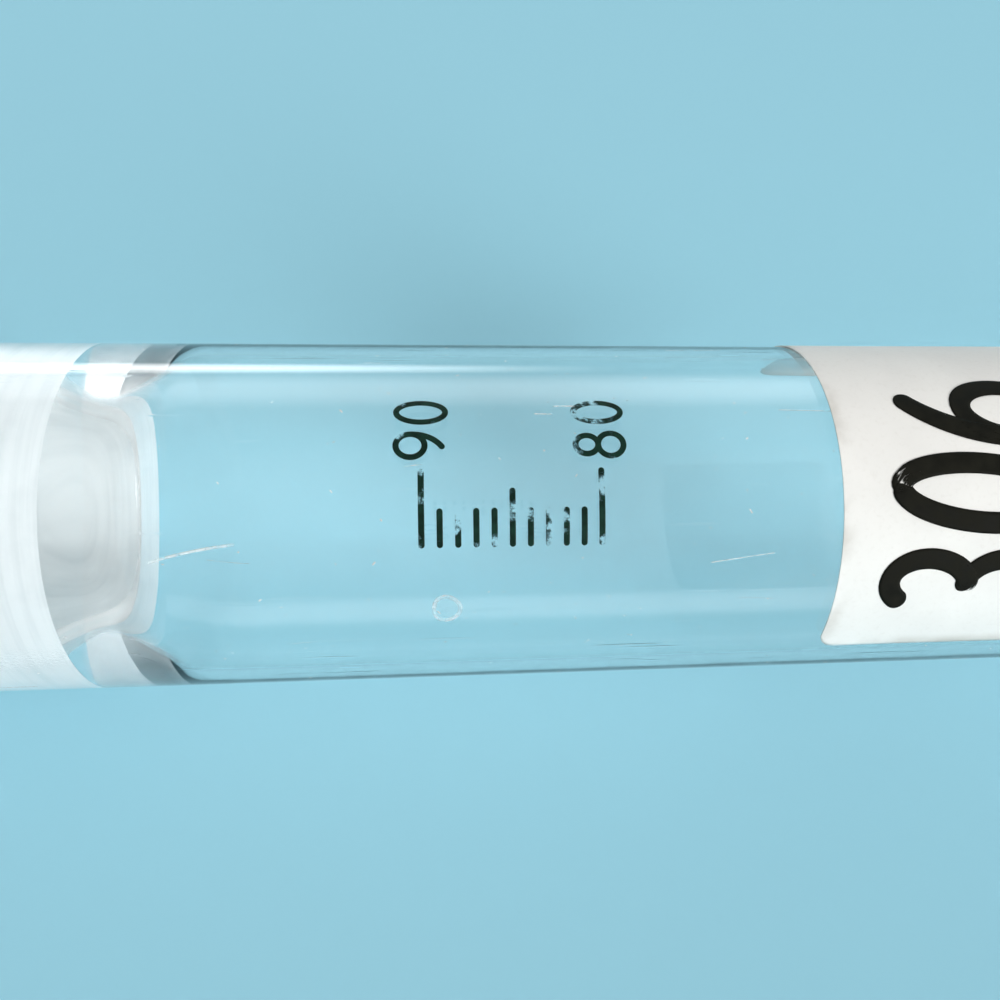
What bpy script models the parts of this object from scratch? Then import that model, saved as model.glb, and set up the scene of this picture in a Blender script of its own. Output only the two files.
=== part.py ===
"""A glass-stoppered test tube, lying on its side.

Metres, +Z up. The tube's axis runs along X with the mouth towards -X and the closed round end towards +X.
The tube's wall and one flat of the stopper's eight-sided head rest on z = 0, and the origin is under the
middle of the whole length.

Each piece is modelled upright in the tube's own frame: z = 0 at the closed end, z = TUBE_LENGTH at the mouth.
An empty on the tube's axis then lays everything down.
"""

import math

import bmesh
import bpy

MM = 0.001

# Tube
TUBE_OUTER_DIAMETER = 32.0 * MM
TUBE_LENGTH = 200.0 * MM
TUBE_WALL = 1.25 * MM
TUBE_BOTTOM_WALL = 1.6 * MM

# Ground joint: the socket in the mouth, and the plug that fits it
SOCKET_MOUTH_DIAMETER = 29.2 * MM
SOCKET_LENGTH = 32.0 * MM
JOINT_TAPER = 1 / 10
SOCKET_SHOULDER_LENGTH = 10.0 * MM
SEAT_CLEARANCE = 0.12 * MM
PLUG_SHORT_OF_SOCKET = 3.5 * MM
PLUG_ABOVE_MOUTH = 3.0 * MM
PLUG_END_ROUNDING = 0.7 * MM

# Stopper's waist, head and hollow
WAIST_DIAMETER = 21.0 * MM
WAIST_LENGTH = 7.5 * MM
HEAD_ACROSS_FLATS = TUBE_OUTER_DIAMETER
HEAD_HEIGHT = 13.5 * MM
HEAD_SIDES = 8
HEAD_EDGE_ROUNDING = 1.6 * MM
STOPPER_WALL = 2.2 * MM

# Label
LABEL_HEIGHT = 25.4 * MM
LABEL_LENGTH_AROUND = 44.5 * MM
LABEL_THICKNESS = 0.15 * MM
LABEL_CORNER = 1.8 * MM
LABEL_FROM_MOUTH = 97.0 * MM
LABEL_GLUE_GAP = 0.1 * MM

# Facets of the round shapes
TURN_STEPS = 48
END_STEPS = 9
CURVE_STEPS = 6
CORNER_STEPS = 4
AXIS_MERGE = 0.01 * MM

# Worked out from the sizes above
TUBE_RADIUS = TUBE_OUTER_DIAMETER / 2
BORE_RADIUS = TUBE_RADIUS - TUBE_WALL
SOCKET_MOUTH_RADIUS = SOCKET_MOUTH_DIAMETER / 2
SOCKET_END = TUBE_LENGTH - SOCKET_LENGTH
PLUG_END = SOCKET_END + PLUG_SHORT_OF_SOCKET
PLUG_TOP = TUBE_LENGTH + PLUG_ABOVE_MOUTH
WAIST_RADIUS = WAIST_DIAMETER / 2
WAIST_MIDDLE = PLUG_TOP + WAIST_LENGTH / 2
HEAD_UNDERSIDE = PLUG_TOP + WAIST_LENGTH
HEAD_END = HEAD_UNDERSIDE + HEAD_HEIGHT
HEAD_INRADIUS = HEAD_ACROSS_FLATS / 2
LABEL_TOP_EDGE = TUBE_LENGTH - LABEL_FROM_MOUTH


def clear_scene():
    for obj in list(bpy.data.objects):
        bpy.data.objects.remove(obj, do_unlink=True)


def new_collection(name):
    collection = bpy.data.collections.new(name)
    bpy.context.scene.collection.children.link(collection)
    return collection


def principled(name, colour, roughness, transmission=0.0, ior=1.5):
    material = bpy.data.materials.new(name)
    material.use_nodes = True
    shader = material.node_tree.nodes["Principled BSDF"]
    shader.inputs["Base Color"].default_value = (*colour, 1.0)
    shader.inputs["Roughness"].default_value = roughness
    shader.inputs["Metallic"].default_value = 0.0
    shader.inputs["Transmission Weight"].default_value = transmission
    shader.inputs["IOR"].default_value = ior
    material.diffuse_color = (*colour, 1.0 - 0.65 * transmission)
    return material


def socket_radius(height):
    """Radius of the ground taper at this height in the tube's frame. It is widest at the mouth."""
    return SOCKET_MOUTH_RADIUS + (height - TUBE_LENGTH) * JOINT_TAPER / 2


def plug_radius(height):
    return socket_radius(height) - SEAT_CLEARANCE


def arc(centre, radii, start, end, steps):
    """Points of an elliptical arc as (radius, height), with its angles in degrees from the radial direction."""
    points = []
    for step in range(steps + 1):
        angle = math.radians(start + (end - start) * step / steps)
        points.append((centre[0] + radii[0] * math.cos(angle), centre[1] + radii[1] * math.sin(angle)))
    return points


def ease(start, end, steps):
    """Points of an S-curve between two (radius, height) points, running along the axis at both ends."""
    points = []
    for step in range(steps + 1):
        share = step / steps
        swing = (1 - math.cos(math.pi * share)) / 2
        points.append((start[0] + (end[0] - start[0]) * swing, start[1] + (end[1] - start[1]) * share))
    return points


def turned(name, profile, collection, foot=0.0):
    """A profile of (radius, height) points, turned about Z. Heights are counted from foot, the object's origin."""
    mesh = bpy.data.meshes.new(name)
    points = [(radius, 0.0, height - foot) for radius, height in profile]
    mesh.from_pydata(points, [(i, i + 1) for i in range(len(points) - 1)], [])
    obj = bpy.data.objects.new(name, mesh)
    collection.objects.link(obj)
    obj.location.z = foot
    screw = obj.modifiers.new("Turn", "SCREW")
    screw.axis = "Z"
    screw.steps = TURN_STEPS
    screw.render_steps = TURN_STEPS
    screw.use_merge_vertices = True
    screw.merge_threshold = AXIS_MERGE
    screw.use_smooth_shade = True
    return obj


def boolean(obj, name, operation, other):
    """Joins or cuts with a helper object, which the render leaves out."""
    other.hide_render = True
    other.display_type = "WIRE"
    modifier = obj.modifiers.new(name, "BOOLEAN")
    modifier.operation = operation
    modifier.object = other


def make_tube(parts):
    """The blown tube: up the bore from the closed end, through the ground socket, over the rim and down outside."""
    inner_end = arc((0, TUBE_RADIUS), (BORE_RADIUS, TUBE_RADIUS - TUBE_BOTTOM_WALL), -90, 0, END_STEPS)
    shoulder = ease(
        (BORE_RADIUS, SOCKET_END - SOCKET_SHOULDER_LENGTH),
        (socket_radius(SOCKET_END), SOCKET_END),
        CURVE_STEPS,
    )
    rim_radius = (TUBE_RADIUS - SOCKET_MOUTH_RADIUS) / 2
    rim_centre = (TUBE_RADIUS - rim_radius, TUBE_LENGTH - rim_radius)
    rim = arc(rim_centre, (rim_radius, rim_radius), 180, 0, CURVE_STEPS)
    outer_end = arc((0, TUBE_RADIUS), (TUBE_RADIUS, TUBE_RADIUS), 0, -90, END_STEPS)
    tube = turned("glass_tube", inner_end + shoulder + rim + outer_end, parts)
    tube.data.materials.append(principled("clear_glass", (0.90, 0.96, 0.95), 0.03, 1.0, 1.47))
    return tube


def make_stopper_head(helpers):
    """Solid eight-sided head with rounded edges. One flat faces the tube's own -X, the side it is laid on."""
    mesh = bpy.data.meshes.new("stopper_head")
    solid = bmesh.new()
    corner_radius = HEAD_INRADIUS / math.cos(math.pi / HEAD_SIDES)
    bmesh.ops.create_cone(
        solid,
        cap_ends=True,
        segments=HEAD_SIDES,
        radius1=corner_radius,
        radius2=corner_radius,
        depth=HEAD_HEIGHT,
    )
    solid.to_mesh(mesh)
    solid.free()
    head = bpy.data.objects.new("stopper_head", mesh)
    helpers.objects.link(head)
    head.location.z = HEAD_UNDERSIDE + HEAD_HEIGHT / 2
    first_corner = math.atan2(mesh.vertices[0].co.y, mesh.vertices[0].co.x)
    head.rotation_euler.z = math.pi + math.pi / HEAD_SIDES - first_corner
    rounding = head.modifiers.new("Fire-polished edges", "BEVEL")
    rounding.width = HEAD_EDGE_ROUNDING
    rounding.segments = CORNER_STEPS
    rounding.limit_method = "ANGLE"
    return head


def make_stopper_hollow(helpers):
    """The hollow that blowing leaves: it follows the outside at the wall's thickness and opens at the plug's end."""
    dome_radius = HEAD_INRADIUS - 2 * STOPPER_WALL
    dome_top = HEAD_END - STOPPER_WALL
    dome_foot = HEAD_UNDERSIDE + HEAD_HEIGHT / 2
    waist = WAIST_RADIUS - STOPPER_WALL
    dome = arc((0, dome_foot), (dome_radius, dome_top - dome_foot), 90, 0, CURVE_STEPS)
    upper = ease((dome_radius, dome_foot), (waist, WAIST_MIDDLE), CURVE_STEPS)
    lower_start = PLUG_TOP - STOPPER_WALL
    lower = ease((waist, WAIST_MIDDLE), (plug_radius(lower_start) - STOPPER_WALL, lower_start), CURVE_STEPS)
    past_the_end = PLUG_END - STOPPER_WALL
    open_end = plug_radius(past_the_end) - STOPPER_WALL
    mouth = [(open_end, past_the_end), (0, past_the_end)]
    return turned("stopper_hollow", dome + upper[1:] + lower[1:] + mouth, helpers)


def make_stopper(parts, helpers):
    """Ground taper plug and waist, turned in one, joined to the head and then hollowed from below."""
    head_root = HEAD_UNDERSIDE + HEAD_EDGE_ROUNDING
    root_radius = HEAD_INRADIUS - HEAD_EDGE_ROUNDING
    top = [(0, head_root)]
    upper = ease((root_radius, head_root), (WAIST_RADIUS, WAIST_MIDDLE), CURVE_STEPS)
    lower = ease((WAIST_RADIUS, WAIST_MIDDLE), (plug_radius(PLUG_TOP), PLUG_TOP), CURVE_STEPS)
    rounding_start = PLUG_END + PLUG_END_ROUNDING
    end_centre = (plug_radius(rounding_start) - PLUG_END_ROUNDING, rounding_start)
    end = arc(end_centre, (PLUG_END_ROUNDING, PLUG_END_ROUNDING), 0, -90, CORNER_STEPS)
    profile = top + upper + lower[1:] + end + [(0, PLUG_END)]
    stopper = turned("glass_stopper", profile, parts, foot=TUBE_LENGTH)
    boolean(stopper, "Join head", "UNION", make_stopper_head(helpers))
    boolean(stopper, "Hollow", "DIFFERENCE", make_stopper_hollow(helpers))
    stopper.data.materials.append(principled("ground_glass", (0.92, 0.96, 0.95), 0.25, 1.0, 1.47))
    return stopper


def make_label(parts):
    """Paper label with rounded corners, wrapped round the tube with its middle on the tube's upper line."""
    paper_radius = TUBE_RADIUS + LABEL_GLUE_GAP
    wrap = LABEL_LENGTH_AROUND / paper_radius
    steps = math.ceil(wrap / math.tau * TURN_STEPS)
    facet_radius = paper_radius / math.cos(wrap / steps / 2)
    paper = bmesh.new()
    start = (facet_radius * math.cos(wrap / 2), -facet_radius * math.sin(wrap / 2))
    edge = [paper.verts.new((*start, LABEL_TOP_EDGE - drop)) for drop in (0, LABEL_HEIGHT)]
    side = paper.edges.new(edge)
    bmesh.ops.spin(paper, geom=edge + [side], axis=(0, 0, 1), angle=wrap, steps=steps)
    corners = [vert for vert in paper.verts if len(vert.link_faces) == 1]
    bmesh.ops.bevel(
        paper,
        geom=corners,
        offset=LABEL_CORNER,
        offset_type="OFFSET",
        segments=CORNER_STEPS,
        profile=0.5,
        affect="VERTICES",
    )
    mesh = bpy.data.meshes.new("paper_label")
    paper.to_mesh(mesh)
    paper.free()
    label = bpy.data.objects.new("paper_label", mesh)
    parts.objects.link(label)
    sheet = label.modifiers.new("Paper thickness", "SOLIDIFY")
    sheet.thickness = LABEL_THICKNESS
    sheet.offset = 1.0
    mesh.shade_smooth()
    mesh.materials.append(principled("white_paper", (0.90, 0.89, 0.84), 0.75))
    return label


def lay_down(pieces, parts):
    """Puts the pieces on an empty at the closed end, turned so that the mouth faces -X and the axis is level."""
    axis = bpy.data.objects.new("tube_axis", None)
    parts.objects.link(axis)
    axis.location = (HEAD_END / 2, 0.0, TUBE_RADIUS)
    axis.rotation_euler.y = -math.pi / 2
    for piece in pieces:
        piece.parent = axis


clear_scene()
assembly = new_collection("stoppered_test_tube")
shaping = new_collection("shaping_helpers")
tube_piece = make_tube(assembly)
stopper_piece = make_stopper(assembly, shaping)
label_piece = make_label(assembly)
lay_down([tube_piece, stopper_piece, label_piece] + list(shaping.objects), assembly)
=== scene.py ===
import math

import bpy
import numpy as np
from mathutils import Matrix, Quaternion, Vector


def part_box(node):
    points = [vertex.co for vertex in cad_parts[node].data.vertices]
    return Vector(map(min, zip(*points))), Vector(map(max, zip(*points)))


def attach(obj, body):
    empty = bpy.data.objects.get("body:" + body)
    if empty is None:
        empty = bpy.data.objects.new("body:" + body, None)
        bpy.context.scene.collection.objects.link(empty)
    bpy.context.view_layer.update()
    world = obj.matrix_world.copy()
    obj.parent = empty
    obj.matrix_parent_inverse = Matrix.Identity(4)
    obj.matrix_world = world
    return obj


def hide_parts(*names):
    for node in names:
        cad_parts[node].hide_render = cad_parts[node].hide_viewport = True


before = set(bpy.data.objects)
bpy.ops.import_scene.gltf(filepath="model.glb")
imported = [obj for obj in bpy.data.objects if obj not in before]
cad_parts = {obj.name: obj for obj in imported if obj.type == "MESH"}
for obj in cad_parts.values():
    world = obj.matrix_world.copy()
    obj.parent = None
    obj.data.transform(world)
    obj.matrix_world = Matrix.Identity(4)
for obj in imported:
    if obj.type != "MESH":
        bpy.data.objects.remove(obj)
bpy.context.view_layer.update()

# The tube
# One piece of drawn laboratory glass: a clear wall, a round end blown shut, and a mouth whose inside is
# ground to a taper for the stopper. Every other piece is carried by it.
MM = 0.001
tube_low, tube_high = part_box("glass_tube")
mouth_x = tube_low.x
tube_length = tube_high.x - tube_low.x
tube_radius = (tube_high.y - tube_low.y) / 2
axis_z = tube_low.z + tube_radius
tube_wall = 1.25 * MM
bottom_wall = 1.6 * MM
bore_radius = tube_radius - tube_wall
round_end = tube_length - tube_radius
socket_mouth_radius = 14.6 * MM
socket_length = 32.0 * MM
socket_taper = 1 / 10
shoulder_length = 10.0 * MM
shoulder_end = socket_length + shoulder_length
rim_radius = (tube_radius - socket_mouth_radius) / 2
tube_steps_around = 288
# Drawing leaves waves in the bore, numbered by how many fit in a turn. A wave's height is this share of the
# bore's radius, divided by its number.
draw_waves = np.arange(2, 26)
draw_wave_share = 0.0016
draw_lines = np.random.default_rng(11)


def socket_radius(depth):
    """Radius of the ground taper: the mouth's radius less half the taper for each unit of depth."""
    return socket_mouth_radius - depth * socket_taper / 2


def straight(start, end, count):
    """Evenly spaced points from start to end."""
    return np.linspace(start, end, count)


def arc(centre, radii, start, end, count):
    """Points of an ellipse: the centre plus each radius times the cosine and sine of an angle in degrees."""
    angle = np.radians(np.linspace(start, end, count))
    return np.stack([centre[0] + radii[0] * np.cos(angle), centre[1] + radii[1] * np.sin(angle)], axis=1)


def s_curve(start, end, count):
    """Depth runs evenly from start to end, and radius follows half a cosine wave between the two."""
    share = np.linspace(0.0, 1.0, count)
    swing = (1 - np.cos(np.pi * share)) / 2
    depth = start[0] + (end[0] - start[0]) * share
    return np.stack([depth, start[1] + (end[1] - start[1]) * swing], axis=1)


def joined(stretches):
    """A profile from its named stretches in order, and the number of points up to the end of each.

    The first and last points are put exactly on the axis.
    """
    profile = np.concatenate(list(stretches.values()))
    profile[[0, -1], 1] = 0.0
    counts = [len(stretch) for stretch in stretches.values()]
    return profile, dict(zip(stretches, np.cumsum(counts)))


def full_turn(steps):
    """Evenly spaced angles once round, without the last one, which would meet the first."""
    return np.linspace(0.0, 2 * np.pi, steps, endpoint=False)


def piece_from(name, points, faces):
    """A mesh object at the origin with smooth faces."""
    mesh = bpy.data.meshes.new(name)
    mesh.from_pydata(points, [], faces)
    mesh.validate()
    mesh.shade_smooth()
    piece = bpy.data.objects.new(name, mesh)
    bpy.context.scene.collection.objects.link(piece)
    return piece


def grid_faces(rows, columns, first=0):
    """The four corners of each cell of a grid whose points are numbered row by row from first."""
    index = np.arange(rows * columns).reshape(rows, columns) + first
    cells = np.stack([index[:-1, :-1], index[1:, :-1], index[1:, 1:], index[:-1, 1:]], axis=-1)
    return cells.reshape(-1, 4).tolist()


def round_the_tube(x, angle, radius):
    """Points at x, and at a radius from the tube's axis on an angle from straight up towards +Y."""
    return np.stack([x, radius * np.sin(angle), axis_z + radius * np.cos(angle)], axis=-1)


def spun_body(name, profile, swell):
    """A profile of (depth from the mouth, radius) turned about the tube's axis, from pole to pole.

    A point is at the mouth plus its depth along X, and at its radius times swell from the axis. swell has a
    row for each profile point and a column for each angle. The first and last profile points lie on the axis
    and are single vertices. Air is on the left of the profile's way, with depth drawn to the right and radius
    upwards.
    """
    around = swell.shape[1]
    angle = full_turn(around)
    radius = profile[:, 1:] * swell
    depth, turned = np.broadcast_arrays(profile[:, :1], angle)
    grid = round_the_tube(mouth_x + depth, turned, radius)
    rings = grid[1:-1]
    points = np.concatenate([grid[0, :1], rings.reshape(-1, 3), grid[-1, :1]])
    ring = np.arange(rings.shape[0] * around).reshape(-1, around) + 1
    beside = np.roll(ring, -1, axis=1)
    quads = np.stack([ring[:-1], ring[1:], beside[1:], beside[:-1]], axis=-1).reshape(-1, 4)
    last = np.full(around, len(points) - 1)
    first_fan = np.stack([np.zeros_like(last), ring[0], beside[0]], axis=-1)
    last_fan = np.stack([ring[-1], last, beside[-1]], axis=-1)
    return piece_from(name, points, quads.tolist() + first_fan.tolist() + last_fan.tolist())


def grind(piece, steps_around, first, last):
    """Gives the piece's second material to the faces between two profile points, counted from the first."""
    slots = np.zeros(len(piece.data.polygons), np.int32)
    slots[(first - 1) * steps_around : (last - 1) * steps_around] = 1
    piece.data.polygons.foreach_set("material_index", slots)


socket_end_radius = socket_radius(socket_length)
tube_stretches = {
    "inner_end": arc((round_end, 0.0), (tube_radius - bottom_wall, bore_radius), 0, 90, 40),
    "bore": straight((round_end, bore_radius), (shoulder_end, bore_radius), 40)[1:],
    "shoulder": s_curve((shoulder_end, bore_radius), (socket_length, socket_end_radius), 24)[1:],
    "ground": straight((socket_length, socket_end_radius), (rim_radius, socket_radius(rim_radius)), 24)[1:],
    "rim": arc((rim_radius, tube_radius - rim_radius), (rim_radius, rim_radius), 270, 90, 16)[1:],
    "outside": straight((rim_radius, tube_radius), (round_end, tube_radius), 60)[1:],
    "outer_end": arc((round_end, 0.0), (tube_radius, tube_radius), 90, 0, 44)[1:],
}
tube_profile, tube_rows = joined(tube_stretches)
# The waves run along the bore, and die out in the round end and in the socket's shoulder.
wave_shifts = draw_lines.uniform(0, 2 * np.pi, draw_waves.size)
wave_angles = np.outer(full_turn(tube_steps_around), draw_waves) + wave_shifts
wavy = (draw_wave_share / draw_waves * np.cos(wave_angles)).sum(axis=1)
bore_start, bore_end, shoulder_rows = (tube_rows[stretch] for stretch in ("inner_end", "bore", "shoulder"))
in_bore = np.zeros(len(tube_profile))
in_bore[:bore_start] = np.linspace(0.0, 1.0, bore_start)
in_bore[bore_start:bore_end] = 1.0
in_bore[bore_end:shoulder_rows] = np.linspace(1.0, 0.0, shoulder_rows - bore_end)
tube_piece = spun_body("tube_glass", tube_profile, 1 + np.outer(in_bore, wavy))
grind(tube_piece, tube_steps_around, tube_rows["shoulder"] - 1, tube_rows["ground"] - 1)
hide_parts("glass_tube")
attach(tube_piece, "tube")


def add_node(tree, kind, inputs=None, **settings):
    """Adds a node, sets its properties, and sets each named input to a value or links it to a socket."""
    made = tree.nodes.new(kind)
    for name, value in settings.items():
        setattr(made, name, value)
    for name, value in (inputs or {}).items():
        if isinstance(value, bpy.types.NodeSocket):
            tree.links.new(value, made.inputs[name])
        else:
            made.inputs[name].default_value = value
    return made


def combined(tree, operation, first, second=0.0, third=0.0):
    """The outcome of one Math node on its inputs."""
    return add_node(tree, "ShaderNodeMath", {0: first, 1: second, 2: third}, operation=operation).outputs[0]


def between(tree, value, low, high, to_low=0.0, to_high=1.0):
    """A value taken smoothly from the range low to high into the range to_low to to_high."""
    ranged = add_node(
        tree,
        "ShaderNodeMapRange",
        {"Value": value, "From Min": low, "From Max": high, "To Min": to_low, "To Max": to_high},
        interpolation_type="SMOOTHSTEP",
    )
    return ranged.outputs["Result"]


def noise(tree, where, scale, detail=2.0, roughness=0.5):
    """A noise texture's value at a vector, with scale in waves per metre."""
    inputs = {"Vector": where, "Scale": scale, "Detail": detail, "Roughness": roughness}
    return add_node(tree, "ShaderNodeTexNoise", inputs).outputs["Fac"]


def stretched(tree, where, scales):
    """Coordinates times a scale on each axis. A noise on them is drawn out where the scale is small."""
    return add_node(tree, "ShaderNodeMapping", {"Vector": where, "Scale": scales}).outputs["Vector"]


def two_tones(tree, share, first, second):
    """A colour that is first where share is 0 and second where it is 1, each three numbers or an output."""
    tones = [tone if isinstance(tone, bpy.types.NodeSocket) else (*tone, 1.0) for tone in (first, second)]
    mixed = add_node(tree, "ShaderNodeMix", {"Factor": share, "A": tones[0], "B": tones[1]}, data_type="RGBA")
    return mixed.outputs["Result"]


def new_material(name):
    """A material with nodes, its node tree and its Principled shader."""
    material = bpy.data.materials.new(name)
    material.use_nodes = True
    return material, material.node_tree, material.node_tree.nodes["Principled BSDF"]


def on_object(tree):
    """The Object coordinates, in metres, that patterns are laid on."""
    return add_node(tree, "ShaderNodeTexCoord").outputs["Object"]


def new_group(name, inputs, outputs):
    """A shader node group with float inputs, given with their defaults, and float outputs."""
    group = bpy.data.node_groups.new(name, "ShaderNodeTree")
    for socket, default in inputs.items():
        made = group.interface.new_socket(socket, in_out="INPUT", socket_type="NodeSocketFloat")
        made.default_value = default
    for socket in outputs:
        group.interface.new_socket(socket, in_out="OUTPUT", socket_type="NodeSocketFloat")
    return group, group.nodes.new("NodeGroupInput").outputs, group.nodes.new("NodeGroupOutput").inputs


def placed(tree, group, values):
    """The outputs of a node group that is put in a material with the material's own values."""
    return add_node(tree, "ShaderNodeGroup", values, node_tree=group).outputs


def handled_glass():
    """Wear of glass that is washed and racked: smears, and fine scratches along the piece.

    Smears are a soft noise, and scratches are peaks of a noise that is drawn out along X. Roughness is the
    polish plus each of them times its amount. Tone is where the smears lie.
    """
    amounts = {"Polish": 0.01, "Smears": 0.05, "Scratches": 0.2}
    group, given, out = new_group("handled_glass", amounts, ["Tone", "Roughness", "Height"])
    where = on_object(group)
    smears = between(group, noise(group, where, scale=75.0, detail=5.0, roughness=0.6), 0.5, 0.78)
    drawn_out = stretched(group, where, (0.05, 1.0, 1.0))
    scratches = between(group, noise(group, drawn_out, scale=1500.0, detail=1.0), 0.70, 0.78)
    total = combined(group, "MULTIPLY_ADD", given["Smears"], smears, given["Polish"])
    total = combined(group, "MULTIPLY_ADD", given["Scratches"], scratches, total)
    group.links.new(smears, out["Tone"])
    group.links.new(total, out["Roughness"])
    group.links.new(combined(group, "MULTIPLY", scratches, -1.0), out["Height"])
    return group


def ground_glass():
    """A joint ground with grit: fine pits, rings left by turning on the tool, and patches rubbed smoother.

    The rings are a noise that hardly changes across the axis, and patches are a soft noise. Tone is a share
    of each, and roughness is the frost less some of the tone.
    """
    ring_share = 0.5
    patch_share = 0.5
    rubbed_off = 0.22
    ring_height = 0.6
    group, given, out = new_group("ground_glass", {"Frost": 0.5}, ["Tone", "Roughness", "Height"])
    where = on_object(group)
    grain = noise(group, where, scale=4200.0, detail=3.0, roughness=0.7)
    patches = noise(group, where, scale=150.0, detail=4.0, roughness=0.6)
    ringed = stretched(group, where, (1.0, 0.03, 0.03))
    rings = noise(group, ringed, scale=1300.0, detail=4.0, roughness=0.65)
    marks = combined(group, "MULTIPLY", between(group, rings, 0.42, 0.66), ring_share)
    marks = combined(group, "MULTIPLY_ADD", between(group, patches, 0.45, 0.7), patch_share, marks)
    smoothed = combined(group, "MULTIPLY", marks, rubbed_off)
    group.links.new(marks, out["Tone"])
    group.links.new(combined(group, "SUBTRACT", given["Frost"], smoothed), out["Roughness"])
    group.links.new(combined(group, "MULTIPLY_ADD", rings, ring_height, grain), out["Height"])
    return group


glass_index = 1.47
pit_depth = 0.02 * MM


def glass(name, colours, wear_group, wear, transmission, bump, lamp_share):
    """Clear or ground glass: a Principled shader whose tone, roughness and bump come from a wear group.

    A share of the light from lamps passes straight through each face, because thin walls hardly bend it. The
    rest arrives by the refracted paths.
    """
    material, tree, shader = new_material(name)
    shader.inputs["IOR"].default_value = glass_index
    shader.inputs["Transmission Weight"].default_value = transmission
    surface = placed(tree, wear_group, wear)
    tree.links.new(two_tones(tree, surface["Tone"], *colours), shader.inputs["Base Color"])
    tree.links.new(surface["Roughness"], shader.inputs["Roughness"])
    pits = {"Strength": bump, "Distance": pit_depth, "Height": surface["Height"]}
    tree.links.new(add_node(tree, "ShaderNodeBump", pits).outputs["Normal"], shader.inputs["Normal"])
    straight_through = (lamp_share, lamp_share, lamp_share, 1.0)
    lamp_light = add_node(tree, "ShaderNodeBsdfTransparent", {"Color": straight_through}).outputs[0]
    towards_lamp = add_node(tree, "ShaderNodeLightPath").outputs["Is Shadow Ray"]
    mixed = add_node(tree, "ShaderNodeMixShader", {0: towards_lamp, 1: shader.outputs[0], 2: lamp_light})
    tree.links.new(mixed.outputs[0], tree.nodes["Material Output"].inputs["Surface"])
    return material


clear_glass = glass(
    "clear_glass",
    [(0.975, 0.988, 0.985), (0.945, 0.958, 0.955)],
    handled_glass(),
    {"Polish": 0.004, "Smears": 0.035},
    transmission=1.0,
    bump=0.3,
    lamp_share=0.9,
)
frosted_glass = glass(
    "frosted_glass",
    [(0.88, 0.89, 0.89), (0.73, 0.75, 0.755)],
    ground_glass(),
    {"Frost": 0.5},
    transmission=0.45,
    bump=0.6,
    lamp_share=0.8,
)
tube_piece.data.materials.append(clear_glass)
tube_piece.data.materials.append(frosted_glass)

# The stopper
# Hollow blown glass, open below: a ground taper plug that seats in the tube's mouth, a waist for the fingers
# and an eight-sided head, moulded while hot, that keeps the tube from rolling.
stopper_low, stopper_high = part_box("glass_stopper")
head_end = stopper_low.x - mouth_x
plug_end = stopper_high.x - mouth_x
plug_clearance = 0.05 * MM
plug_top = -3.0 * MM
waist_radius = 10.5 * MM
waist_length = 7.5 * MM
head_inradius = (stopper_high.z - stopper_low.z) / 2
head_edge = 2.2 * MM
stopper_wall = 2.2 * MM
head_sides = 8
head_corner_sharpness = 70
stopper_steps_around = 256


def plug_radius(depth):
    """The socket's radius less the clearance of the ground faces."""
    return socket_radius(depth) - plug_clearance


def eight_sided(angle):
    """Radius of an octagon of inradius 1 with rounded corners and one flat straight up.

    The cosine of the angle from a flat's middle, to a high power, is added up over the flats. The radius is
    the sum to minus one over that power, so it follows the nearest flat and rounds the corner between two.
    """
    flats = np.arange(head_sides) * 2 * np.pi / head_sides
    reach = np.maximum(np.cos(angle[:, None] - flats), 0.0)
    return (reach**head_corner_sharpness).sum(axis=1) ** (-1 / head_corner_sharpness)


waist_middle = plug_top - waist_length / 2
head_underside = plug_top - waist_length
head_middle = (head_underside + head_end) / 2
head_shoulder = head_inradius - head_edge
flats_start = head_end + head_edge
flats_end = head_underside - head_edge
dome_radius = head_inradius - 2 * stopper_wall
hollow_waist = waist_radius - stopper_wall
hollow_start = plug_top + stopper_wall
hollow_start_radius = plug_radius(hollow_start) - stopper_wall
end_rounding = stopper_wall / 2
rounding_start = plug_end - end_rounding
hollow_mouth = plug_radius(plug_end) - stopper_wall
plug_end_middle = hollow_mouth + end_rounding
stopper_stretches = {
    "end_face": straight((head_end, 0.0), (head_end, head_shoulder), 16),
    "end_edge": arc((flats_start, head_shoulder), (head_edge, head_edge), 180, 90, 12)[1:],
    "flats": straight((flats_start, head_inradius), (flats_end, head_inradius), 12)[1:],
    "under_edge": arc((flats_end, head_shoulder), (head_edge, head_edge), 90, 0, 12)[1:],
    "waist_upper": s_curve((head_underside, head_shoulder), (waist_middle, waist_radius), 24)[1:],
    "waist_lower": s_curve((waist_middle, waist_radius), (plug_top, plug_radius(plug_top)), 24)[1:],
    "ground": straight((plug_top, plug_radius(plug_top)), (rounding_start, plug_radius(plug_end)), 24)[1:],
    "open_end": arc((rounding_start, plug_end_middle), (end_rounding, end_rounding), 90, -90, 16)[1:],
    "hollow_plug": straight((rounding_start, hollow_mouth), (hollow_start, hollow_start_radius), 24)[1:],
    "hollow_lower": s_curve((hollow_start, hollow_start_radius), (waist_middle, hollow_waist), 24)[1:],
    "hollow_upper": s_curve((waist_middle, hollow_waist), (head_middle, dome_radius), 24)[1:],
    "dome": arc((head_middle, 0.0), (head_middle - head_end - stopper_wall, dome_radius), 90, 180, 28)[1:],
}
stopper_profile, stopper_rows = joined(stopper_stretches)
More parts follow.
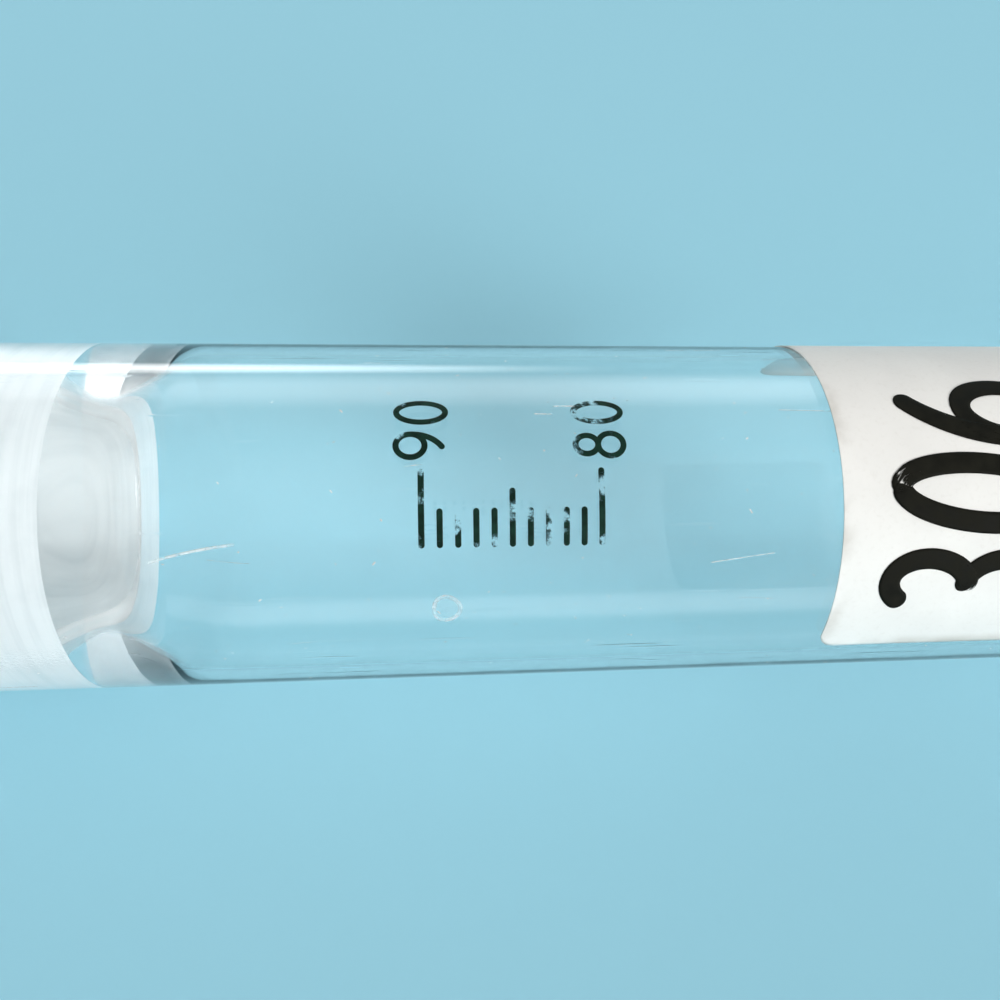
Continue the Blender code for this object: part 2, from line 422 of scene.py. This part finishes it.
# The head is an octagon all through, and the eight sides melt into the round waist below it.
octagon_share = np.zeros(len(stopper_profile))
head_rows = stopper_rows["under_edge"]
melt_rows = stopper_rows["waist_upper"]
octagon_share[:head_rows] = 1.0
octagon_share[head_rows:melt_rows] = np.linspace(1.0, 0.0, melt_rows - head_rows) ** 2
stopper_swell = 1 + np.outer(octagon_share, eight_sided(full_turn(stopper_steps_around)) - 1)
stopper_piece = spun_body("stopper_glass", stopper_profile, stopper_swell)
grind(stopper_piece, stopper_steps_around, stopper_rows["waist_lower"] - 1, stopper_rows["ground"] - 1)
stopper_piece.data.materials.append(clear_glass)
stopper_piece.data.materials.append(frosted_glass)
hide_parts("glass_stopper")
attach(stopper_piece, "stopper")

# The fired scale
# A short volume scale with plain numbers, screened on the clear wall in dark green enamel, fused to the glass
# and worn by years of washing.
enamel_lift = 0.012 * MM
enamel_thickness = 0.01 * MM
enamel_colours = [(0.003, 0.015, 0.009), (0.007, 0.034, 0.022)]
scale_volumes = range(80, 91)
scale_from_mouth = 76.5 * MM
scale_turn = math.radians(-38.0)
scale_line = 0.5 * MM
tick_lengths = {10: 6.4 * MM, 5: 4.8 * MM, 1: 3.2 * MM}
numbered_step = 10
number_start = 7.2 * MM
number_step = 3.1 * MM
number_width = 2.4 * MM
number_height = 4.0 * MM
tick_points = 24
# A stroke has so many rows of points in each round end. A short one's ends take up no more than a share of
# its length, and their tips keep a share of its width, given squared, so that no face closes up.
round_end_rows = 9
most_in_ends = 0.8
tip_squared = 0.002
# One millilitre is a cube of 10 mm, and fills this much of the bore's length.
millilitre = (10 * MM) ** 3 / (math.pi * bore_radius**2)


def round_ended(path, width):
    """A path's points set out anew, close together within half a width of its rounded ends.

    Distance along the path rises by a cosine in the round ends and evenly between them. Returns each point's
    distance and place.
    """
    travelled = np.concatenate([[0.0], np.cumsum(np.linalg.norm(np.diff(path, axis=0), axis=1))])
    length = travelled[-1]
    end = min(width, most_in_ends * length) / 2
    rising = end * (1 - np.cos(np.linspace(0.0, np.pi / 2, round_end_rows)))
    even = np.linspace(end, length - end, len(path))[1:-1]
    distance = np.concatenate([rising, even, length - rising[::-1]])
    return distance, np.column_stack([np.interp(distance, travelled, side) for side in path.T])


def add_attribute(piece, name, values):
    """A number at each point of a piece, for its material to read."""
    piece.data.attributes.new(name, "FLOAT", "POINT").data.foreach_set("value", values)


def thicken(piece, name, thickness):
    """A modifier that gives a sheet its thickness, outwards."""
    sheet = piece.modifiers.new(name, "SOLIDIFY")
    sheet.thickness = thickness
    sheet.offset = 1.0


def brushed_strokes(name, paths, widths, radius, from_mouth, turn, thickness, columns=7):
    """Strokes laid on a cylinder about the tube's axis, with one width for all or a width for each path.

    A path's points are (reading direction, height of the letter) in metres. Across the path the stroke
    reaches half its width to both sides, less a round end. A point is then put on the cylinder: reading runs
    round the tube from turn, in radians from straight up towards +Y, and height runs towards the mouth. A
    stroke has so many columns of points across it.
    """
    points, faces, along, sideways = [], [], [], []
    first = 0
    across = np.linspace(-1.0, 1.0, columns)
    for drawn, width in zip(paths, np.broadcast_to(widths, len(paths))):
        distance, path = round_ended(drawn, width)
        steps = np.gradient(path, axis=0)
        steps /= np.linalg.norm(steps, axis=1, keepdims=True)
        side = np.stack([-steps[:, 1], steps[:, 0]], axis=1)
        to_end = np.minimum(distance, distance[-1] - distance) / (width / 2)
        half = width / 2 * np.sqrt(np.clip(1 - (1 - np.minimum(to_end, 1.0)) ** 2, tip_squared, 1.0))
        flat = path[:, None, :] + side[:, None, :] * half[:, None, None] * across[None, :, None]
        x = mouth_x + from_mouth - flat[..., 1]
        points.append(round_the_tube(x, turn + flat[..., 0] / radius, radius).reshape(-1, 3))
        faces += grid_faces(len(path), across.size, first)
        along.append(np.repeat(distance / distance[-1], across.size))
        sideways.append(np.tile(across, len(path)))
        first += len(path) * across.size
    piece = piece_from(name, np.concatenate(points), faces)
    add_attribute(piece, "along", np.concatenate(along))
    add_attribute(piece, "sideways", np.concatenate(sideways))
    thicken(piece, "Film thickness", thickness)
    return piece


six_stroke = np.concatenate(
    [arc((1.06, 0.33), (0.98, 0.70), 116, 177, 24), arc((0.5, 0.29), (0.42, 0.29), 180, 540, 48)]
)
numerals = {
    "0": [arc((0.5, 0.5), (0.40, 0.5), 84, 462, 64)],
    "3": [arc((0.42, 0.76), (0.38, 0.24), 150, -100, 32), arc((0.42, 0.27), (0.44, 0.27), 100, -148, 36)],
    "6": [six_stroke],
    "8": [arc((0.5, 0.765), (0.34, 0.235), -120, 300, 48), arc((0.5, 0.265), (0.42, 0.265), 60, 480, 52)],
    "9": [1.0 - six_stroke],
}


def numeral_paths(digit, width, height, corner, slant=0.0):
    """A numeral's strokes, scaled from its unit box to a width and height, leaning, at its lower corner."""
    lean = np.array([[1.0, 0.0], [slant, 1.0]])
    return [stroke * (width, height) @ lean + corner for stroke in numerals[digit]]


def film_wear():
    """Unevenness of a thin film: where it is darker or lighter, and how much of it is left.

    Both are noises of the place. Tone goes from 0 to 1. Cover goes smoothly from Least to Most as its noise
    rises from Bare to Whole.
    """
    grain = {"Tone Scale": 900.0, "Wear Scale": 1400.0}
    limits = {"Bare": 0.35, "Whole": 0.65, "Least": 0.0, "Most": 1.0}
    group, given, out = new_group("film_wear", {**grain, **limits}, ["Tone", "Cover"])
    where = on_object(group)
    tone = between(group, noise(group, where, scale=given["Tone Scale"], detail=3.0), 0.3, 0.7)
    patches = noise(group, where, scale=given["Wear Scale"], detail=5.0, roughness=0.62)
    cover = between(group, patches, given["Bare"], given["Whole"], given["Least"], given["Most"])
    group.links.new(tone, out["Tone"])
    group.links.new(cover, out["Cover"])
    return group


worn_film = film_wear()


def thin_film(name, colours, roughness, gloss, wear, cover=None):
    """Enamel, ink, lime or dust on a surface: two tones of a colour, see-through where the film is gone.

    Roughness follows the tone from its first value to its second. What is left of the film comes from its
    wear, or from a function of the material's tree.
    """
    material, tree, shader = new_material(name)
    shader.inputs["Specular IOR Level"].default_value = gloss
    film = placed(tree, worn_film, wear)
    tree.links.new(two_tones(tree, film["Tone"], *colours), shader.inputs["Base Color"])
    tree.links.new(between(tree, film["Tone"], 0.0, 1.0, *roughness), shader.inputs["Roughness"])
    tree.links.new(cover(tree) if cover else film["Cover"], shader.inputs["Alpha"])
    return material


enamel_paths = []
for volume in scale_volumes:
    height = (volume - scale_volumes[0]) * millilitre
    tick = next(length for step, length in tick_lengths.items() if volume % step == 0)
    enamel_paths.append(straight((0.0, height), (tick, height), tick_points))
    if volume % numbered_step == 0:
        for place, digit in enumerate(str(volume)):
            corner = (number_start + place * number_step, height - number_height / 2)
            enamel_paths += numeral_paths(digit, number_width, number_height, corner)
enamel_piece = brushed_strokes(
    "volume_scale",
    enamel_paths,
    scale_line,
    tube_radius + enamel_lift,
    scale_from_mouth,
    scale_turn,
    enamel_thickness,
)
enamel_wear = {"Wear Scale": 420.0, "Bare": 0.38, "Whole": 0.5}
worn_enamel = thin_film("worn_enamel", enamel_colours, roughness=(0.3, 0.45), gloss=0.1, wear=enamel_wear)
enamel_piece.data.materials.append(worn_enamel)
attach(enamel_piece, "tube")

# Scratches, dust and a dried drop
# Marks of use on the outside of the clear wall: short pale scuffs along the tube, specks of dust, and the
# ring that a drop of hard water leaves. They scatter light, so they show white on clear glass.
wear_lift = 0.008 * MM
wear_radius = tube_radius + wear_lift
wear_thickness = 0.004 * MM
wear_reach = tube_length - 2 * tube_radius
wear_from_mouth = tube_radius + wear_reach
use_marks = np.random.default_rng(29)
scuffs = [
    {"place": (1.5 * MM, 110.1 * MM), "length": 2.0 * MM, "slant": 0.0, "bend": 0.02},
    {"place": (0.7 * MM, 112.0 * MM), "length": 1.5 * MM, "slant": 0.02, "bend": 0.0},
    {"place": (-10.7 * MM, 139.9 * MM), "length": 6.6 * MM, "slant": -0.2, "bend": 0.1},
]
scuff_widths = [0.16 * MM, 0.13 * MM, 0.24 * MM]
scuff_points = 16
# Fine scratches and dust are drawn by chance, from the least to the most of each measure.
scratch_count = 26
scratch_ranges = {"length": (1.0 * MM, 7.0 * MM), "slant": (-0.15, 0.15), "bend": (-0.05, 0.05)}
scratch_width_range = (0.04 * MM, 0.09 * MM)
dust_count = 340
dust_ranges = {"length": (0.08 * MM, 0.26 * MM), "slant": (-1.5, 1.5)}
dust_width_range = (0.06 * MM, 0.14 * MM)
dust_bend = 0.3
drop_radius = 1.2 * MM
drop_oval = 0.05
drop_lobes = 0.04
drop_overlap = 14.0
drop_points = 76
drop_widths = [0.22 * MM, 0.1 * MM]
inner_ring = 0.84
drop_from_mouth = 63.8 * MM
drop_side = math.radians(-57.5)
use_roughness = (0.7, 0.9)
use_gloss = 0.5


def straying_line(place, length, slant, bend):
    """A line along the tube through a place, leaning by slant and bowed by bend, as shares of its length."""
    share = np.linspace(-0.5, 0.5, scuff_points)
    sideways = length * (slant * share + bend * (0.25 - share**2))
    return np.stack([place[0] + sideways, place[1] + length * share], axis=1)


def anywhere_on_the_wall():
    """A chance place on the straight wall: a distance round the tube, and a height from the round end."""
    return use_marks.uniform(-np.pi, np.pi) * tube_radius, use_marks.uniform(0.0, wear_reach)


def drawn_from(ranges):
    """A chance value of each named measure, between its least and its most."""
    least, most = zip(*ranges.values())
    return dict(zip(ranges, use_marks.uniform(least, most)))


def drop_outline():
    """The edge of a drop: its radius times one plus two shallow waves, with two and three to the turn.

    The line goes on past a full turn by the overlap, in degrees, so that its ends cross.
    """
    turn = np.radians(np.linspace(0.0, 360.0 + drop_overlap, drop_points))
    edge = drop_radius * (1 + drop_oval * np.cos(2 * turn) + drop_lobes * np.sin(3 * turn))
    return np.stack([edge * np.cos(turn), edge * np.sin(turn)], axis=1)


scratch_paths = [straying_line(**scuff) for scuff in scuffs]
scratch_widths = [*scuff_widths]
for _ in range(scratch_count):
    place = anywhere_on_the_wall()
    scratch_paths.append(straying_line(place, **drawn_from(scratch_ranges)))
    scratch_widths.append(use_marks.uniform(*scratch_width_range))
dust_paths = []
for _ in range(dust_count):
    place = anywhere_on_the_wall()
    dust_paths.append(straying_line(place, bend=dust_bend, **drawn_from(dust_ranges)))
dust_widths = use_marks.uniform(*dust_width_range, dust_count)
drop_ring = drop_outline()
drop_paths = [drop_ring, inner_ring * drop_ring]
use_pieces = {
    "fine_scratches": (scratch_paths, scratch_widths, wear_from_mouth, 0.0),
    "dust_specks": (dust_paths, dust_widths, wear_from_mouth, 0.0),
    "dried_drop": (drop_paths, drop_widths, drop_from_mouth, drop_side),
}
use_films = {
    "fine_scratches": ("scratched_glass", (0.88, 0.92, 0.92), (0.80, 0.85, 0.85), 0.1, 0.6),
    "dust_specks": ("white_dust", (0.92, 0.92, 0.90), (0.74, 0.72, 0.68), 0.5, 1.0),
    "dried_drop": ("lime_ring", (0.86, 0.88, 0.88), (0.76, 0.79, 0.79), 0.08, 0.34),
}
for name, (paths, widths, from_mouth, turn) in use_pieces.items():
    use_piece = brushed_strokes(name, paths, widths, wear_radius, from_mouth, turn, wear_thickness, columns=3)
    film_name, pale, dull, least, most = use_films[name]
    film_left = {"Least": least, "Most": most}
    use_piece.data.materials.append(thin_film(film_name, [pale, dull], use_roughness, use_gloss, film_left))
    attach(use_piece, "tube")

# The label
# A self-adhesive paper label with rounded corners, stuck round the upper side of the tube by hand. Its
# corners have begun to lift.
label_low, label_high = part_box("paper_label")
label_height = label_high.x - label_low.x
label_from_mouth = label_low.x - mouth_x
label_around = 44.5 * MM
label_corner = 1.8 * MM
label_thickness = 0.1 * MM
label_rows, label_columns = 64, 120
glue_thickness = 0.03 * MM
label_seat = tube_radius + glue_thickness
corner_lift = 0.16 * MM
lift_power_to_ends, lift_power_to_edges = 14, 4
lift_unevenness = 0.6
paper_ripple = 0.012 * MM
ripple_round, ripple_down = 3.1 * MM, 4.3 * MM
paper_colour = (0.92, 0.91, 0.87)
clouded_paper = (0.865, 0.855, 0.818)
fibre_colour = (0.55, 0.52, 0.45)
grime_colour = (0.42, 0.38, 0.31)
grime_reach = 1.6 * MM
most_grime = 0.5
fibre_height = 0.03 * MM


def wrapped_sheet(name, rows, columns):
    """A sheet with rounded corners on the tube's upper side.

    Rows run round the tube. A row's half length is half the label's, less what the corner's quarter circle
    takes at that distance from the label's edge. A point sits on the seat's radius plus a product of two sine
    waves, and plus a lift that grows with high powers of how near the point is to the ends and edges, so only
    at corners.
    """
    edge_rows = (1 - np.cos(np.linspace(0.0, np.pi / 2, rows // 4))) * label_corner
    inner_rows = np.linspace(label_corner, label_height - label_corner, rows // 2)[1:-1]
    down = np.concatenate([edge_rows, inner_rows, label_height - edge_rows[::-1]])
    past_corner = np.clip(label_corner - np.minimum(down, label_height - down), 0.0, label_corner)
    half = label_around / 2 - label_corner + np.sqrt(label_corner**2 - past_corner**2)
    reading = half[:, None] * np.linspace(-1.0, 1.0, columns)
    near_end = np.abs(reading) / (label_around / 2)
    near_edge = np.abs(down / label_height * 2 - 1)[:, None]
    at_corners = near_end**lift_power_to_ends * near_edge**lift_power_to_edges
    lift = corner_lift * at_corners * (1 + lift_unevenness * np.sign(reading))
    ripple = paper_ripple * np.sin(reading / ripple_round) * np.sin(down / ripple_down)[:, None]
    x = np.broadcast_to(mouth_x + label_from_mouth + down[:, None], reading.shape)
    points = round_the_tube(x, reading / label_seat, label_seat + lift + ripple)
    sheet = piece_from(name, points.reshape(-1, 3), grid_faces(len(down), columns))
    from_edge = np.minimum(np.minimum(down, label_height - down)[:, None], half[:, None] - np.abs(reading))
    add_attribute(sheet, "from_edge", from_edge.ravel())
    return sheet


def read_attribute(tree, name):
    """The value of a named attribute of a piece's points."""
    return add_node(tree, "ShaderNodeAttribute", attribute_name=name).outputs["Fac"]


def uncoated_paper():
    """Label paper: fibres and pulp clouds in colour and bump, and handling grime that fades from the edge."""
    material, tree, shader = new_material("label_paper")
    where = on_object(tree)
    clouds = noise(tree, where, scale=140.0, detail=4.0)
    fibres = noise(tree, where, scale=2600.0, detail=3.0, roughness=0.6)
    handled = between(tree, read_attribute(tree, "from_edge"), grime_reach, 0.0, 0.0, most_grime)
    grime = combined(tree, "MULTIPLY", handled, between(tree, clouds, 0.4, 0.65))
    paper = two_tones(tree, between(tree, clouds, 0.3, 0.7), paper_colour, clouded_paper)
    paper = two_tones(tree, between(tree, fibres, 0.5, 0.8, 0.0, 0.12), paper, fibre_colour)
    paper = two_tones(tree, grime, paper, grime_colour)
    tree.links.new(paper, shader.inputs["Base Color"])
    tree.links.new(between(tree, fibres, 0.2, 0.8, 0.68, 0.86), shader.inputs["Roughness"])
    raised = add_node(tree, "ShaderNodeBump", {"Strength": 0.35, "Distance": fibre_height, "Height": fibres})
    tree.links.new(raised.outputs["Normal"], shader.inputs["Normal"])
    return material


label_piece = wrapped_sheet("label_paper", label_rows, label_columns)
thicken(label_piece, "Paper thickness", label_thickness)
label_piece.data.materials.append(uncoated_paper())
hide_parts("paper_label")
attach(label_piece, "tube")

# The writing on the label
# A plain number written by hand with a broad felt marker. The ink has soaked into the paper, and runs dry at
# the ends of the strokes.
written_number = "306"
marker_width = 1.9 * MM
marker_height = 15.0 * MM
marker_numeral_width = 6.4 * MM
marker_step = 7.9 * MM
marker_drop = 0.5 * MM
marker_start = (-12.0 * MM, 0.4 * MM)
marker_slant = 0.08
marker_colours = [(0.007, 0.0065, 0.004), (0.014, 0.0135, 0.0095)]
ink_grain = {"Tone Scale": 700.0}
stroke_waves = 6.0
running_dry = 0.88
driest = 0.26
ink_lift = 0.035 * MM
ink_thickness = 0.01 * MM
writing_margin = 5.0 * MM
writing_from_mouth = label_from_mouth + writing_margin + marker_height
writing_turn = math.radians(-23.0)


def ink_left(tree):
    """What is left of the ink: a noise drawn out along the stroke, and less in the stroke's last eighth."""
    along = read_attribute(tree, "along")
    on_stroke = {"X": combined(tree, "MULTIPLY", along, stroke_waves), "Y": read_attribute(tree, "sideways")}
    where = add_node(tree, "ShaderNodeCombineXYZ", on_stroke).outputs["Vector"]
    streaks = noise(tree, where, scale=5.0, detail=4.0, roughness=0.6)
    dry = between(tree, along, running_dry, 1.0, 0.0, driest)
    return between(tree, combined(tree, "SUBTRACT", streaks, dry), 0.2, 0.3)


marker_paths = []
for place, digit in enumerate(written_number):
    corner = (marker_start[0] + place * marker_step, marker_start[1] - place * marker_drop)
    marker_paths += numeral_paths(digit, marker_numeral_width, marker_height, corner, marker_slant)
marker_piece = brushed_strokes(
    "label_number",
    marker_paths,
    marker_width,
    label_seat + label_thickness + ink_lift,
    writing_from_mouth,
    writing_turn,
    ink_thickness,
)
marker_ink = thin_film("marker_ink", marker_colours, (0.6, 0.8), gloss=0.06, wear=ink_grain, cover=ink_left)
marker_piece.data.materials.append(marker_ink)
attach(marker_piece, "tube")

# The floor, the light and the camera
# A plain pale surface, a grey sky, two large soft lamps that stand well back so that the floor is lit evenly,
# a long low lamp that shows only in reflections, and a camera above the tube's side.
floor_radius = 2.3
floor_corners = 120
floor_colour = (0.33, 0.65, 0.775)
backdrop_colour = (0.70, 0.80, 0.84)


def pale_floor():
    """A round level sheet under the object: points on a circle at height 0."""
    turn = full_turn(floor_corners)
    level = np.zeros(floor_corners)
    points = np.column_stack([floor_radius * np.cos(turn), floor_radius * np.sin(turn), level])
    floor = piece_from("floor", points, [list(range(floor_corners))])
    material, _, shader = new_material("pale_floor")
    shader.inputs["Base Color"].default_value = (*floor_colour, 1.0)
    shader.inputs["Roughness"].default_value = 0.9
    shader.inputs["Specular IOR Level"].default_value = 0.1
    floor.data.materials.append(material)


def soft_lamp(name, place, size, power, fades, roll=0.0):
    """A rectangular soft box at a place, facing the tube's middle and rolled by some degrees.

    Its brightness rises smoothly from nothing over a share of its width or height at each edge: fades gives
    those shares for the left, right, lower and upper edges.
    """
    lamp = bpy.data.lights.new(name, "AREA")
    lamp.shape = "RECTANGLE"
    lamp.size, lamp.size_y = size
    lamp.energy = power
    lamp.use_nodes = True
    tree = lamp.node_tree
    place_on_lamp = add_node(tree, "ShaderNodeNewGeometry").outputs["Parametric"]
    across = add_node(tree, "ShaderNodeSeparateXYZ", {"Vector": place_on_lamp}).outputs
    left, right, lower, upper = fades
    strength = 1.0
    for share, start, end in ((across["X"], left, right), (across["Y"], lower, upper)):
        strength = combined(tree, "MULTIPLY", strength, between(tree, share, 0.0, start))
        strength = combined(tree, "MULTIPLY", strength, between(tree, share, 1.0, 1.0 - end))
    tree.links.new(strength, tree.nodes["Emission"].inputs["Strength"])
    holder = bpy.data.objects.new(name, lamp)
    holder.location = place
    holder.rotation_mode = "QUATERNION"
    facing = (Vector((0.0, 0.0, axis_z)) - Vector(place)).to_track_quat("-Z", "Y")
    holder.rotation_quaternion = facing @ Quaternion((0, 0, 1), math.radians(roll))
    holder.visible_camera = False
    bpy.context.scene.collection.objects.link(holder)
    return holder


def studio_sky():
    """A grey sky as light, brighter overhead. The camera, glass and reflections see a pale backdrop."""
    world = bpy.data.worlds.new("studio_sky")
    world.use_nodes = True
    tree = world.node_tree
    direction = add_node(tree, "ShaderNodeTexCoord").outputs["Generated"]
    height = add_node(tree, "ShaderNodeSeparateXYZ", {"Vector": direction}).outputs["Z"]
    rays = add_node(tree, "ShaderNodeLightPath").outputs
    seen = combined(tree, "MAXIMUM", rays["Is Glossy Ray"], rays["Is Transmission Ray"])
    seen = combined(tree, "MAXIMUM", seen, rays["Is Camera Ray"])
    backdrop = two_tones(tree, between(tree, height, 0.0, 0.7), floor_colour, backdrop_colour)
    grey = between(tree, height, -0.1, 0.9, 0.28, 0.55)
    tree.links.new(two_tones(tree, seen, grey, backdrop), tree.nodes["Background"].inputs["Color"])
    bpy.context.scene.world = world


pale_floor()
studio_sky()
even_fades = (0.3, 0.3, 0.3, 0.3)
streak_fades = (0.5, 0.1, 0.5, 0.5)
soft_lamp("key_lamp", place=(9.2, -7.8, 5.35), size=(8.0, 8.0), power=3152.0, fades=even_fades)
soft_lamp("back_lamp", place=(0.0, 9.6, 4.99), size=(19.2, 6.0), power=480.0, fades=even_fades)
streak_lamp = soft_lamp(
    "streak_lamp",
    place=(-1.2, 2.7, 0.42),
    size=(4.4, 0.8),
    power=100.0,
    fades=streak_fades,
    roll=-2.6,
)
streak_lamp.visible_diffuse = False
streak_lamp.visible_transmission = False

camera_at = Vector((-23.78, -38.73, 91.67)) * MM
camera_aim = Vector((-14.88, 1.0, 16.0)) * MM
camera_roll = math.radians(10.41)
lens = bpy.data.cameras.new("camera")
lens.sensor_width = 36.0
lens.lens = 30.93
lens.shift_x = -0.04
lens.clip_start = 1.0 * MM
lens.clip_end = 50.0
camera = bpy.data.objects.new("camera", lens)
camera.location = camera_at
camera.rotation_mode = "QUATERNION"
camera_facing = (camera_aim - camera_at).to_track_quat("-Z", "Y")
camera.rotation_quaternion = camera_facing @ Quaternion((0, 0, 1), camera_roll)
bpy.context.scene.collection.objects.link(camera)
bpy.context.scene.camera = camera
bpy.context.scene.view_settings.view_transform = "Standard"

bpy.context.view_layer.update()
